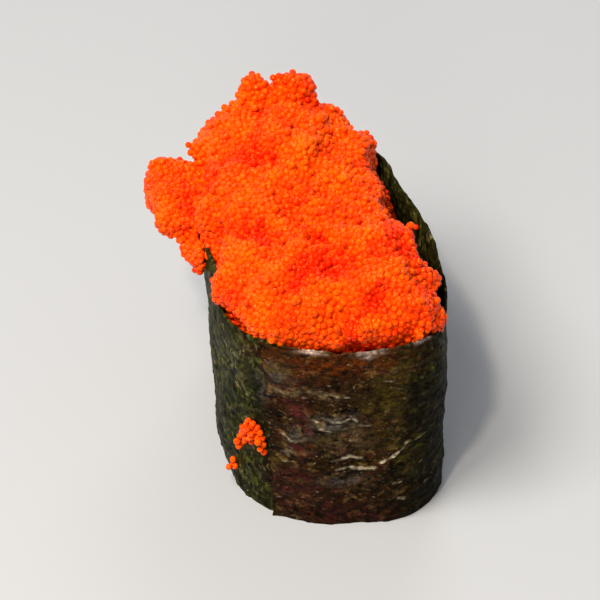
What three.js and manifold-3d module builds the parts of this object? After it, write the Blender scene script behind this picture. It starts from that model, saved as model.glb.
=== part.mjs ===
// Gunkan sushi: a block of pressed rice, a band of nori wound round it, and a heap of
// flying-fish roe that fills the band and stands above its rim.
// Millimetres, +Z up. The origin is the middle of the underside. +Y runs along the piece
// to its narrow back end, -Y is the wide front end.

import * as THREE from "three";
import { mergeVertices } from "three/addons/utils/BufferGeometryUtils.js";
import { ImprovedNoise } from "three/addons/math/ImprovedNoise.js";
import Module from "manifold-3d";

// Band of nori
const bandLength = 47.5;
const bandWidth = 28.6;
const bandHeight = 33;
const squareness = 3; // 2 is an ellipse, more is boxier
const frontWidening = 0.18; // the front end is this share wider than the middle
const skew = 0.21; // the right side lies this share of its distance from the middle forwards
const footScale = 0.93; // the foot's outline against the rim's
const sheetThickness = 0.45;
const lapAngle = -0.65 * Math.PI; // the outer end of the sheet, at the front left
const lapLength = 9;
const lapLift = 0.25; // how far the outer end stands off the layer below
const neighbourGap = 0.3;
const shortEdge = 0.22;

// Rice
const riceHeight = 21;
const grainLength = 6;
const grainWidth = 2.7;
const grainSink = 0.75; // how deep a grain is pressed flat at the underside
const grainPitch = 5.6;
const riceColumns = 32;

// Roe
const beadSize = 1.35;
const beadRelief = 0.42;
const heapRings = 31;
const heapSpine = 8;
const heapBase = 1.3; // the heap is widest this far above the rim
const heapUnder = 0.8; // how far its underside reaches below that
const heapTurn = 0.58 * Math.PI; // the section's angle from the top to the lowest ring
const crownHeight = 6.8;
const sectionWidth = 18; // the average section's reach from the middle to the rim
const heapFloor = 29; // the heap's lowest ring, inside the band
const heapPlug = 0.96; // that ring's size against the outline
const looseBeads = 18;
const plugColumns = 36;

const clumpNoise = new ImprovedNoise();
const up = new THREE.Vector3(0, 0, 1);

// A number from 0 to 1 that is near 1 close to a place and falls to 0 past its reach.
function near(point, place, reach) {
  const distance = Math.hypot(point.x - place[0], point.y - place[1]);
  return Math.exp(-((distance / reach) ** 2));
}

// Seeded random numbers from 0 to 1 (a linear congruential sequence).
function makeRandom(seed) {
  let state = seed;
  return () => {
    state = (state * 1664525 + 1013904223) % 4294967296;
    return state / 4294967296;
  };
}

// A rounded oblong, wider at the front, run anticlockwise from `start` as seen from above.
class Oblong extends THREE.Curve {
  constructor(start) {
    super();
    this.start = start;
    this.arcLengthDivisions = 720;
  }

  getPoint(part, target = new THREE.Vector2()) {
    const angle = this.start + 2 * Math.PI * part;
    const power = 2 / squareness;
    const across = Math.sign(Math.cos(angle)) * Math.abs(Math.cos(angle)) ** power;
    const along = Math.sign(Math.sin(angle)) * Math.abs(Math.sin(angle)) ** power;
    const x = (bandWidth / 2) * across * (1 - frontWidening * along);
    return target.set(x, (bandLength / 2) * along - skew * x);
  }
}

const bandOutline = new Oblong(lapAngle);
const heapOutline = new Oblong(Math.PI / 2);
const bandPerimeter = bandOutline.getLength();

// The place and the outward direction at a share of the way round an outline.
function edgeAt(outline, share) {
  const part = share - Math.floor(share);
  const place = outline.getPointAt(part);
  const step = 0.002;
  const before = outline.getPointAt((part + 1 - step) % 1);
  const after = outline.getPointAt((part + step) % 1);
  const outward = new THREE.Vector2(after.y - before.y, before.x - after.x).normalize();
  return { place, outward };
}

// Edges at equal steps round the band.
function edgesAround(columns) {
  return Array.from({ length: columns }, (unused, column) =>
    edgeAt(bandOutline, column / columns),
  );
}

// Slow swells of the band's face and waves of its rim: a height in mm, and the radians of
// the wave in each mm of x, y and z.
const faceSwells = [
  { height: 0.2, along: [0.31, 0.22, 0.12] },
  { height: 0.12, along: [-0.2, 0.45, 0.3] },
];
const rimWaves = [
  { height: 0.3, along: [0.31, -0.2, 0] },
  { height: 0.2, along: [0.5, 0.37, 0] },
];

function waveSum(waves, x, y, z) {
  return waves.reduce(
    (sum, { height, along }) => sum + height * Math.sin(along[0] * x + along[1] * y + along[2] * z),
    0,
  );
}

// A point of the band's inner face at height z, moved outwards by `out`. The face leans out
// towards the rim and swells and dips a little.
function facePoint(edge, z, out) {
  const level = Math.min(Math.max(z / bandHeight, 0), 1);
  const lean = footScale + (1 - footScale) * level;
  const push = out + waveSum(faceSwells, edge.place.x, edge.place.y, z);
  return new THREE.Vector3(
    edge.place.x * lean + edge.outward.x * push,
    edge.place.y * lean + edge.outward.y * push,
    z,
  );
}

const wasm = await Module();
wasm.setup();

// A closed geometry as a solid that can be joined and cut.
function toSolid(geometry) {
  const bare = new THREE.BufferGeometry();
  bare.setAttribute("position", geometry.getAttribute("position"));
  bare.setIndex(geometry.getIndex());
  const merged = mergeVertices(bare, 1e-3);
  const vertProperties = new Float32Array(merged.getAttribute("position").array);
  const triVerts = new Uint32Array(merged.getIndex().array);
  return new wasm.Manifold(new wasm.Mesh({ numProp: 3, vertProperties, triVerts }));
}

// The largest body of a solid as a geometry: loose scraps and sealed hollows are dropped.
function toGeometry(solid) {
  const bodies = solid.decompose();
  bodies.sort((a, b) => b.volume() - a.volume());
  const { vertProperties, triVerts } = bodies[0].getMesh();
  const points = [];
  for (let index = 0; index < vertProperties.length; index += 3) {
    points.push(new THREE.Vector3().fromArray(vertProperties, index));
  }
  const geometry = geometryFrom(points, withoutShortEdges(points, [...triVerts]));
  const tidy = geometry.toNonIndexed();
  tidy.computeVertexNormals();
  return tidy;
}

// Draws the two ends of every edge shorter than `shortEdge` together, which takes out the
// slivers that cutting leaves. An edge goes only where its ends share just two neighbours
// with other neighbours of their own, so the skin stays closed. Points of the underside
// stay there.
function withoutShortEdges(points, faces) {
  const neighbours = points.map(() => new Set());
  const edges = [];
  for (let corner = 0; corner < faces.length; corner += 1) {
    const from = faces[corner];
    const to = faces[corner % 3 === 2 ? corner - 2 : corner + 1];
    neighbours[from].add(to);
    neighbours[to].add(from);
    const length = points[from].distanceTo(points[to]);
    if (from < to && length < shortEdge) {
      edges.push({ from, to, length });
    }
  }
  edges.sort((a, b) => a.length - b.length);
  const moved = new Map();
  for (const { from, to } of edges) {
    const shared = [...neighbours[from]].filter((point) => neighbours[to].has(point));
    const firm = shared.length === 2 && shared.every((point) => neighbours[point].size > 3);
    if (!moved.has(from) && !moved.has(to) && firm) {
      if (points[to].z < 1e-6) {
        points[from].copy(points[to]);
      } else if (points[from].z >= 1e-6) {
        points[from].lerp(points[to], 0.5);
      }
      for (const other of neighbours[to]) {
        neighbours[other].delete(to);
        if (other !== from) {
          neighbours[other].add(from);
          neighbours[from].add(other);
        }
      }
      moved.set(to, from);
    }
  }
  const settled = (point) => (moved.has(point) ? settled(moved.get(point)) : point);
  const kept = [];
  for (let corner = 0; corner < faces.length; corner += 3) {
    const [a, b, c] = faces.slice(corner, corner + 3).map(settled);
    if (a !== b && b !== c && c !== a) {
      kept.push(a, b, c);
    }
  }
  return kept;
}

function geometryFrom(points, faces) {
  const geometry = new THREE.BufferGeometry().setFromPoints(points);
  geometry.setIndex(faces);
  return geometry;
}

// The quads between successive rings of points, each as two triangles.
function ringFaces(ringCount, ringSize, closes) {
  const faces = [];
  const bands = closes ? ringCount : ringCount - 1;
  for (let ring = 0; ring < bands; ring += 1) {
    const low = ring * ringSize;
    const high = ((ring + 1) % ringCount) * ringSize;
    for (let side = 0; side < ringSize; side += 1) {
      const next = (side + 1) % ringSize;
      faces.push(low + side, low + next, high + next);
      faces.push(low + side, high + next, high + side);
    }
  }
  return faces;
}

// A tube closed on itself, such as a band with wall thickness.
function loopSolid(rings) {
  return geometryFrom(rings.flat(), ringFaces(rings.length, rings[0].length, true));
}

// A plug: rings from bottom to top, with a flat fan over each end.
function plugSolid(rings) {
  const size = rings[0].length;
  const points = rings.flat();
  const faces = ringFaces(rings.length, size, false);
  const last = (rings.length - 1) * size;
  const bottom = points.push(middleOf(rings[0])) - 1;
  const top = points.push(middleOf(rings[rings.length - 1])) - 1;
  for (let side = 0; side < size; side += 1) {
    const next = (side + 1) % size;
    faces.push(bottom, next, side);
    faces.push(top, last + side, last + next);
  }
  return geometryFrom(points, faces);
}

function middleOf(ring) {
  const sum = ring.reduce((total, point) => total.add(point), new THREE.Vector3());
  return sum.divideScalar(ring.length);
}

// A small round bead, as a geometry of 20 faces.
function bead(place, size) {
  const geometry = new THREE.IcosahedronGeometry(size / 2, 0);
  geometry.rotateZ(place.x * 3 + place.y * 5);
  geometry.translate(place.x, place.y, place.z);
  geometry.setIndex([...Array(geometry.getAttribute("position").count).keys()]);
  return geometry;
}

// Where the rim bends outwards, or inwards: a place, how far, and over what length of rim.
const rimFlares = [
  { place: [-14.6, -5], out: -1, reach: 6 },
  { place: [15, -4], out: 0.8, reach: 4.5 },
  { place: [-9, 20], out: 0.7, reach: 5 },
  { place: [11, 13], out: 0.6, reach: 5 },
];

const bandColumns = 72;
const bandLevels = [0, 0.34, 0.68, 0.86, 1];

// How far the rim stands out and up at an edge, against a plain straight band.
function rimFlare(edge, level) {
  const bend = Math.max(0, (level - 0.72) / 0.28) ** 1.6;
  const total = rimFlares.reduce(
    (sum, flare) => sum + flare.out * near(edge.place, flare.place, flare.reach),
    0,
  );
  return total * bend;
}

function rimHeight(edge) {
  return bandHeight + waveSum(rimWaves, edge.place.x, edge.place.y, 0);
}

// The outer layer of the lap: it starts at the sheet's end and dies away where the inner
// end lies below it. `run` is the distance in mm past the sheet's outer end.
function lapThickness(run) {
  const settle = THREE.MathUtils.smoothstep(run, lapLength, lapLength + 3);
  const lift = lapLift * Math.exp(-run / 2);
  return sheetThickness * (1 - settle) + lift;
}

// The band between some of its levels, grown by `extra` on every side.
function bandSolid(extra, levels) {
  const shares = [0];
  const endStep = 0.25 / bandPerimeter;
  for (let column = 0; column < bandColumns; column += 1) {
    shares.push(endStep + ((1 - endStep) * column) / bandColumns);
  }
  const edges = shares.map((share) => edgeAt(bandOutline, share));
  const ringAt = (level, outer) =>
    edges.map((edge, column) => {
      const lap = column === 0 ? 0 : lapThickness(shares[column] * bandPerimeter);
      const out = outer ? sheetThickness + lap + extra : -extra;
      const height = level * rimHeight(edge) + (level > 0.5 ? extra : -extra);
      return facePoint(edge, height, out + rimFlare(edge, level));
    });
  const outerRings = levels.map((level) => ringAt(level, true));
  const innerRings = levels.map((level) => ringAt(level, false)).reverse();
  return loopSolid([...outerRings, ...innerRings]);
}

// Stray beads of roe: distance in mm past the sheet's end, height, and 1 for one stuck on
// the outer face or -1 on the inner face.
const strayBeads = [
  [-2.5, 16.9, 1],
  [-3.6, 16.1, 1],
  [-2.4, 15.7, 1],
  [-4.2, 14.9, 1],
  [-3.0, 14.6, 1],
  [-4.4, 13.6, 1],
  [-3.4, 13.2, 1],
  [-4.8, 12.1, 1],
  [-5.1, 10.9, 1],
  [-1.3, 15.2, 1],
  [-1.0, 14.0, 1],
  [-1.0, 12.8, 1],
  [-8.0, 4.8, 1],
  [-8.3, 3.7, 1],
  [46.5, 31.4, -1],
];

function makeNori() {
  let solid = toSolid(bandSolid(0, bandLevels));
  for (const [run, height, side] of strayBeads) {
    const edge = edgeAt(bandOutline, run / bandPerimeter);
    const wall = side > 0 ? sheetThickness : 0;
    const out = wall + rimFlare(edge, height / bandHeight) + 0.3 * beadSize * side;
    solid = solid.add(toSolid(bead(facePoint(edge, height, out), beadSize)));
  }
  return toGeometry(solid);
}

// A grain lying at the underside: a long rounded body, cut flat where it was pressed.
function grain(place, turn, size) {
  const geometry = new THREE.SphereGeometry(0.5, 6, 3);
  geometry.scale(grainWidth * size, grainLength * size, grainWidth * size);
  geometry.rotateZ(turn);
  geometry.translate(place.x, place.y, place.z);
  return geometry;
}

// Grain places: rows across the underside, every second row shifted, kept inside the band.
function grainPlaces(random) {
  const places = [new THREE.Vector2(0, 0)];
  const rowStep = grainPitch * 0.8;
  const rows = Math.floor(bandLength / 2 / rowStep);
  for (let row = -rows; row <= rows; row += 1) {
    const shift = row % 2 === 0 ? 0 : grainPitch / 2;
    for (let column = -3; column <= 3; column += 1) {
      const x = column * grainPitch + shift + (random() - 0.5) * 1.2;
      const y = row * rowStep + (random() - 0.5) * 1.2;
      const inside = (Math.abs(x) / 12.2) ** squareness + (Math.abs(y) / 20.4) ** squareness;
      if (inside < 1 && Math.hypot(x, y) > grainPitch * 0.55) {
        places.push(new THREE.Vector2(x, y));
      }
    }
  }
  return places;
}

function makeRice() {
  const random = makeRandom(11);
  const edges = edgesAround(riceColumns);
  const ring = (z, out) => edges.map((edge) => facePoint(edge, z, out));
  const side = -neighbourGap - 0.1;
  let solid = toSolid(plugSolid([ring(0.9, side - 1), ring(2, side), ring(riceHeight, side)]));
  grainPlaces(random).forEach((place, index) => {
    const turn = index === 0 ? 0.5 : random() * Math.PI;
    const size = index === 0 ? 1.15 : 0.85 + 0.3 * random();
    const z = (grainWidth * size) / 2 - grainSink;
    solid = solid.add(toSolid(grain({ x: place.x, y: place.y, z }, turn, size)));
  });
  const slab = new THREE.BoxGeometry(bandWidth * 2, bandLength * 2, riceHeight);
  slab.translate(0, 0, riceHeight / 2);
  const bore = toSolid(plugSolid([ring(-1, side), ring(riceHeight, side)]));
  return toGeometry(solid.intersect(toSolid(slab)).intersect(bore));
}

// The heap's section from its top (0, 1) out to its widest point (1, 0) and a little under
// it, in mm of an average section, so that equal steps along it are equal on the heap.
class HeapSection extends THREE.Curve {
  getPoint(part, target = new THREE.Vector2()) {
    const angle = part * heapTurn;
    const out = Math.sin(angle) ** 0.8;
    const rise = Math.max(0, Math.cos(angle)) ** 0.72;
    const fall = Math.max(0, Math.cos(angle) / Math.cos(heapTurn));
    return target.set(sectionWidth * out, crownHeight * rise - heapUnder * fall);
  }
}

const heapSection = new HeapSection();

// Hills and dips of the heap's top: a place, a height and a reach.
const hills = [
  { place: [-3, 13], height: 2.3, reach: 9 },
  { place: [0, -7], height: -1.3, reach: 5.5 },
  { place: [1, -17], height: 1.2, reach: 7 },
  { place: [10, 8], height: -2.4, reach: 8 },
];

// Where the heap hangs over the rim, or stays back from it: a place, how far, and a reach.
const overhangs = [
  { place: [-11.5, 17], out: 1.2, reach: 6 },
  { place: [-13, -17], out: 0.4, reach: 5 },
  { place: [14.5, -6], out: -3.8, reach: 8 },
  { place: [13.2, 4], out: -3.7, reach: 6.8 },
  { place: [11.7, 12], out: 0.5, reach: 2.5 },
  { place: [-15, -3], out: -2.6, reach: 4 },
];

// A point of the heap's smooth skin: reach 0 is its top and 1 its lowest ring, which lies
// inside the band. Where the heap stays back from the rim it sinks below it.
function heapPoint(reach, share) {
  const lowest = reach > 1 - 0.5 / heapRings;
  const section = heapSection.getPointAt(Math.min(1, (reach * heapRings) / (heapRings - 1)));
  const out = (section.x / sectionWidth) * (lowest ? heapPlug : 1);
  const edge = edgeAt(heapOutline, share);
  const overhang = overhangs.reduce(
    (sum, hang) => sum + hang.out * near(edge.place, hang.place, hang.reach),
    0.5,
  );
  const hang = overhang * (section.y < 0 ? 1 + section.y / heapUnder : out ** 3);
  const spine = heapSpine / (2 * heapRings + heapSpine);
  const foot = edge.place.y * spine;
  const x = edge.place.x * out + edge.outward.x * hang;
  const y = foot + (edge.place.y - foot) * out + edge.outward.y * hang;
  if (lowest) {
    return new THREE.Vector3(x, y, heapFloor);
  }
  const hill = hills.reduce(
    (sum, item) => sum + item.height * near({ x, y }, item.place, item.reach),
    0,
  );
  const sunk = 1 - (1.6 * Math.min(0, overhang)) / heapUnder;
  const rise = section.y > 0 ? section.y * (1 + hill / crownHeight) : section.y * sunk;
  return new THREE.Vector3(x, y, rimHeight(edge) + heapBase + rise);
}

// Clumps in the roe: soft lumps of a few beads, with smaller ones on them.
function clump(point) {
  const coarse = clumpNoise.noise(point.x / 4.6, point.y / 4.6, point.z / 4.6);
  const fine = clumpNoise.noise(point.x / 2.1 + 9, point.y / 2.1, point.z / 2.1);
  return 1.5 * coarse + 0.6 * fine;
}

// Lattice points in rings round a spine, as [ring, share of the way round, a, b].
function latticePoints(rings, spine) {
  const points = [];
  for (let step = 0; step <= spine; step += 1) {
    points.push([0, step / Math.max(1, 2 * spine), spine - step, 0]);
  }
  for (let ring = 1; ring <= rings; ring += 1) {
    const sides = [
      [-1, 1, ring],
      [-1, 0, ring + spine],
      [0, -1, ring],
      [1, -1, ring],
      [1, 0, ring + spine],
      [0, 1, ring],
    ];
    const around = 6 * ring + 2 * spine;
    let a = spine + ring;
    let b = 0;
    let walked = 0;
    for (const [stepA, stepB, count] of sides) {
      for (let step = 0; step < count; step += 1) {
        points.push([ring, walked / around, a, b]);
        a += stepA;
        b += stepB;
        walked += 1;
      }
    }
  }
  return points;
}

// A closed lump of roe. Its skin is a lattice of triangles in which every third point is the
// top of a bead and stands proud, and its lowest ring is closed by a fan.
function beadedLump(rings, spine, skinPoint) {
  const lattice = latticePoints(rings, spine);
  const indexAt = new Map(lattice.map(([, , a, b], index) => [`${a},${b}`, index]));
  const points = lattice.map(([ring, share]) => skinPoint(ring / rings, share));
  const faces = [];
  lattice.forEach(([, , a, b], here) => {
    const right = indexAt.get(`${a + 1},${b}`);
    const above = indexAt.get(`${a},${b + 1}`);
    const left = indexAt.get(`${a - 1},${b + 1}`);
    if (right !== undefined && above !== undefined) {
      faces.push(here, right, above);
    }
    if (left !== undefined && above !== undefined) {
      faces.push(here, above, left);
    }
  });
  const around = 6 * rings + 2 * spine;
  const first = lattice.length - around;
  const hub = points.push(middleOf(points.slice(first))) - 1;
  for (let step = 0; step < around; step += 1) {
    faces.push(hub, first + ((step + 1) % around), first + step);
  }
  const geometry = geometryFrom(points, faces);
  geometry.computeVertexNormals();
  const normals = geometry.getAttribute("normal");
  const normal = new THREE.Vector3();
  const tops = [];
  lattice.forEach(([ring, , a, b], index) => {
    normal.fromBufferAttribute(normals, index);
    const isTop = (((a - b) % 3) + 3) % 3 === 0;
    const relief = isTop ? 0.6 * beadRelief : -0.4 * beadRelief;
    const strength = Math.min(1, (rings - ring) / 3);
    points[index].addScaledVector(normal, (relief + clump(points[index])) * strength);
    if (isTop && ring < rings) {
      tops.push({ place: points[index], normal: normal.clone() });
    }
  });
  return { geometry: geometryFrom(points, faces), tops };
}

// Clumps that stand out of the heap: the middle, the direction they face, the half sizes
// (two across, then outwards) and the rings and spine of their lattice.
const clumps = [
  { place: [-15.2, 10.6, 32.3], facing: [-1, 0.1, 0.1], size: [4.2, 7.6, 5.2], rings: 10, spine: 4 },
  { place: [-15.4, 3.4, 30.4], facing: [-1, -0.2, -0.2], size: [3, 4.4, 2.5], rings: 6, spine: 0 },
  { place: [-3.8, 20, 38.6], facing: [-0.1, 0.5, 1], size: [2.3, 2.5, 4.9], rings: 7, spine: 0 },
  { place: [2, 19.6, 38.8], facing: [0, 0.5, 1], size: [3.2, 2.9, 4.9], rings: 8, spine: 0 },
  { place: [-12.5, -9.3, 34.1], facing: [-1, -0.2, 0.1], size: [2.8, 3.5, 3], rings: 6, spine: 0 },
  { place: [11.8, -20.4, 34.2], facing: [0.8, -0.5, 0.2], size: [2.7, 3.4, 2.7], rings: 6, spine: 0 },
];

// A point of a clump's smooth skin: a little more than half an ellipsoid.
function clumpPoint({ place, facing, size, rings, spine }, reach, share) {
  const tilt = reach * 0.58 * Math.PI;
  const turn = 2 * Math.PI * share;
  const foot = spine / (2 * rings + spine);
  const along = foot + (1 - foot) * Math.sin(tilt);
  const point = new THREE.Vector3(
    -size[0] * Math.sin(tilt) * Math.sin(turn),
    size[1] * along * Math.cos(turn),
    size[2] * Math.cos(tilt),
  );
  const direction = new THREE.Vector3(...facing).normalize();
  point.applyQuaternion(new THREE.Quaternion().setFromUnitVectors(up, direction));
  return point.add(new THREE.Vector3(...place));
}

function makeRoe() {
  const heap = beadedLump(heapRings, heapSpine, heapPoint);
  let solid = toSolid(heap.geometry);
  for (const item of clumps) {
    const skin = (reach, share) => clumpPoint(item, reach, share);
    solid = solid.add(toSolid(beadedLump(item.rings, item.spine, skin).geometry));
  }
  const random = makeRandom(5);
  const stride = heap.tops.length / looseBeads;
  for (let count = 0; count < looseBeads; count += 1) {
    const { place, normal } = heap.tops[Math.floor((count + random()) * stride)];
    const centre = place.clone().addScaledVector(normal, 0.2 * beadSize);
    solid = solid.add(toSolid(bead(centre, beadSize)));
  }
  const edges = edgesAround(plugColumns);
  const ring = (z) => edges.map((edge) => facePoint(edge, z, -neighbourGap - 0.2));
  const plug = plugSolid([ring(riceHeight + neighbourGap), ring(heapFloor + 0.6)]);
  const clearance = toSolid(bandSolid(neighbourGap, bandLevels.slice(2)));
  return toGeometry(solid.add(toSolid(plug)).subtract(clearance));
}

function piece(name, geometry, color, roughness) {
  const material = new THREE.MeshStandardMaterial({ color, roughness, metalness: 0 });
  const mesh = new THREE.Mesh(geometry, material);
  mesh.name = name;
  return mesh;
}

const gunkan = new THREE.Group();
gunkan.add(piece("nori", makeNori(), 0x2b2f1c, 0.5));
gunkan.add(piece("rice", makeRice(), 0xf1ede0, 0.6));
gunkan.add(piece("roe", makeRoe(), 0xf95a12, 0.25));

export default gunkan;
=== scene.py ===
import math

import bmesh
import bpy
import numpy as np
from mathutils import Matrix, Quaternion, Vector


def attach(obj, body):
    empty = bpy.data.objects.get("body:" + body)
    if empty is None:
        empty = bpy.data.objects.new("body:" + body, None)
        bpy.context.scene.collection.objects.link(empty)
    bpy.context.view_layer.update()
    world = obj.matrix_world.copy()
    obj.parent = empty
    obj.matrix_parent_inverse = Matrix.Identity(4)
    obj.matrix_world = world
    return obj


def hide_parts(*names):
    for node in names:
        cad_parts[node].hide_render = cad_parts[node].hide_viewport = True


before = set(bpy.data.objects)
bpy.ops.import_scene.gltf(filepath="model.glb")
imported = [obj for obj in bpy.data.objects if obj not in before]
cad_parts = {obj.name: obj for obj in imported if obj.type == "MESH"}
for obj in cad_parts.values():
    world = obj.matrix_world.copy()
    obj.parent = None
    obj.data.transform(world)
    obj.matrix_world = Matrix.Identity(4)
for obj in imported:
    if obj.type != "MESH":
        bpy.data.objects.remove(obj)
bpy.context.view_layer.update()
print("frame loaded:", ", ".join(sorted(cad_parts)))

mm = 0.001
scene = bpy.context.scene


# Camera, floor and light. Places are in mm from the middle of the underside.
cameraFacts = {
    "place": (-62.9, -381.2, 374.1),
    "aim": (-2, 0, 21),
    "lens": 230,
    "roll": -2.04,  # degrees
    "clip": (10, 20000),
}

studio = {
    "floorSize": 3000,
    "floorColour": "#9c9d9e",
    "floorRoughness": 0.7,
    "worldColour": "#f2f4fa",
    "worldStrength": 0.34,
    "lampAim": (0, 0, 20),
    "lamps": [
        {"name": "keyLamp", "place": (-230, -120, 520), "size": 240, "power": 4.8, "colour": "#fffaf4"},
        {"name": "frontLamp", "place": (-200, -520, 330), "size": 140, "power": 0.8, "colour": "#fffaf4"},
        {"name": "smallLamp", "place": (-140, -260, 520), "size": 34, "power": 1.8, "colour": "#fff4e2"},
        {"name": "backLamp", "place": (160, 420, 420), "size": 260, "power": 1.2, "colour": "#f6f8ff"},
    ],
}


def colour(hexText):
    # An sRGB hex colour as linear red, green, blue and an alpha of 1.
    parts = np.array([int(hexText[at:at + 2], 16) / 255 for at in (1, 3, 5)])
    linear = np.where(parts <= 0.04045, parts / 12.92, ((parts + 0.055) / 1.055) ** 2.4)
    return (*linear.tolist(), 1.0)


def addNode(tree, kind, inputs=None, **settings):
    # One node with its settings. An input is a plain value or another node's output.
    node = tree.nodes.new(kind)
    for name, value in settings.items():
        setattr(node, name, value)
    for name, value in (inputs or {}).items():
        if isinstance(value, bpy.types.NodeSocket):
            tree.links.new(value, node.inputs[name])
        else:
            node.inputs[name].default_value = value
    return node


def newMaterial(name):
    # An empty node material and its tree.
    material = bpy.data.materials.new(name)
    material.use_nodes = True
    material.node_tree.nodes.clear()
    return material, material.node_tree


def placeCamera(facts):
    # Looks from the place to the aim, then turns about the line of sight by the roll.
    data = bpy.data.cameras.new("camera")
    data.lens = facts["lens"]
    data.clip_start, data.clip_end = facts["clip"][0] * mm, facts["clip"][1] * mm
    made = bpy.data.objects.new("camera", data)
    sight = Vector(facts["aim"]) - Vector(facts["place"])
    roll = Quaternion((0, 0, 1), math.radians(facts["roll"]))
    made.rotation_mode = "QUATERNION"
    made.rotation_quaternion = sight.to_track_quat("-Z", "Y") @ roll
    made.location = Vector(facts["place"]) * mm
    scene.collection.objects.link(made)
    scene.camera = made


def placeLamp(facts, aim):
    # A square soft lamp that faces the aim.
    data = bpy.data.lights.new(facts["name"], "AREA")
    data.size = facts["size"] * mm
    data.energy = facts["power"]
    data.color = colour(facts["colour"])[:3]
    made = bpy.data.objects.new(facts["name"], data)
    made.location = Vector(facts["place"]) * mm
    made.rotation_euler = (Vector(aim) - Vector(facts["place"])).to_track_quat("-Z", "Y").to_euler()
    scene.collection.objects.link(made)


def makeStudio(facts):
    # A pale floor at the underside, an even sky and soft lamps.
    material, tree = newMaterial("paleFloor")
    shader = addNode(tree, "ShaderNodeBsdfPrincipled", {
        "Base Color": colour(facts["floorColour"]), "Roughness": facts["floorRoughness"],
    })
    addNode(tree, "ShaderNodeOutputMaterial", {"Surface": shader.outputs[0]})
    half = facts["floorSize"] * mm / 2
    corners = [(-half, -half, 0), (half, -half, 0), (half, half, 0), (-half, half, 0)]
    mesh = bpy.data.meshes.new("floor")
    mesh.from_pydata(corners, [], [(0, 1, 2, 3)])
    mesh.materials.append(material)
    floor = bpy.data.objects.new("floor", mesh)
    scene.collection.objects.link(floor)
    world = bpy.data.worlds.new("studio")
    world.use_nodes = True
    background = world.node_tree.nodes["Background"]
    background.inputs["Color"].default_value = colour(facts["worldColour"])
    background.inputs["Strength"].default_value = facts["worldStrength"]
    scene.world = world
    for lamp in facts["lamps"]:
        placeLamp(lamp, facts["lampAim"])


placeCamera(cameraFacts)
makeStudio(studio)
scene.view_settings.view_transform = "Standard"  # keeps the roe's strong orange
print("camera, floor and lamps placed")


# Shared shapes
noiseSize = 64
noiseTable = np.random.default_rng(4).uniform(-1, 1, (noiseSize,) * 3)


def softNoise(*place):
    # Value noise from -1 to 1: random numbers on a unit lattice, blended between by a smooth step.
    place = np.stack(np.broadcast_arrays(*place), -1).astype(float)
    cell = np.floor(place).astype(int)
    part = place - cell
    part = part * part * (3 - 2 * part)
    total = np.zeros(place.shape[:-1])
    for corner in np.ndindex(2, 2, 2):
        weight = np.prod(np.where(corner, part, 1 - part), axis=-1)
        index = (cell + corner) % noiseSize
        total += weight * noiseTable[index[..., 0], index[..., 1], index[..., 2]]
    return total


def smoothStep(value, low, high):
    # 0 below low, 1 above high, and an S between.
    share = np.clip((value - low) / (high - low), 0, 1)
    return share * share * (3 - 2 * share)


def gridFaces(rows, columns):
    # The quads between neighbouring points of a grid whose columns close to a loop.
    row, column = np.arange(rows - 1)[:, None], np.arange(columns)[None, :]
    following = (column + 1) % columns
    corners = [row * columns + column, row * columns + following,
               (row + 1) * columns + following, (row + 1) * columns + column]
    return np.stack(corners, -1).reshape(-1, 4)


def fanFaces(tip, ring):
    # The triangles from a tip to each step of a closed ring of points.
    return np.stack([0 * ring + tip, ring, np.roll(ring, -1)], 1)


def addPiece(name, points, faceSets, material, nodes, sheetPlaces=None, marks=None):
    # A smooth mesh of points in mm and sets of faces, which rides on the root body and stands
    # for some nodes. sheetPlaces become its UV map, and marks are numbers kept at its points.
    corners = np.concatenate([faces.ravel() for faces in faceSets]).astype(np.int32)
    sizes = np.concatenate([np.full(len(faces), faces.shape[1]) for faces in faceSets])
    mesh = bpy.data.meshes.new(name)
    mesh.vertices.add(len(points))
    mesh.vertices.foreach_set("co", (np.asarray(points) * mm).astype(np.float32).ravel())
    mesh.loops.add(len(corners))
    mesh.loops.foreach_set("vertex_index", corners)
    mesh.polygons.add(len(sizes))
    mesh.polygons.foreach_set("loop_start", (np.cumsum(sizes) - sizes).astype(np.int32))
    mesh.polygons.foreach_set("use_smooth", np.ones(len(sizes), bool))
    mesh.update(calc_edges=True)
    if sheetPlaces is not None:
        layer = mesh.uv_layers.new(name="sheet")
        layer.data.foreach_set("uv", sheetPlaces[corners].astype(np.float32).ravel())
    for mark, values in (marks or {}).items():
        mesh.attributes.new(mark, "FLOAT", "POINT").data.foreach_set("value", values.astype(np.float32))
    mesh.materials.append(material)
    piece = bpy.data.objects.new(name, mesh)
    scene.collection.objects.link(piece)
    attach(piece, "root")
    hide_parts(*nodes)
    print(f"{name}: {len(points)} points, {int((sizes - 2).sum())} triangles")


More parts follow.
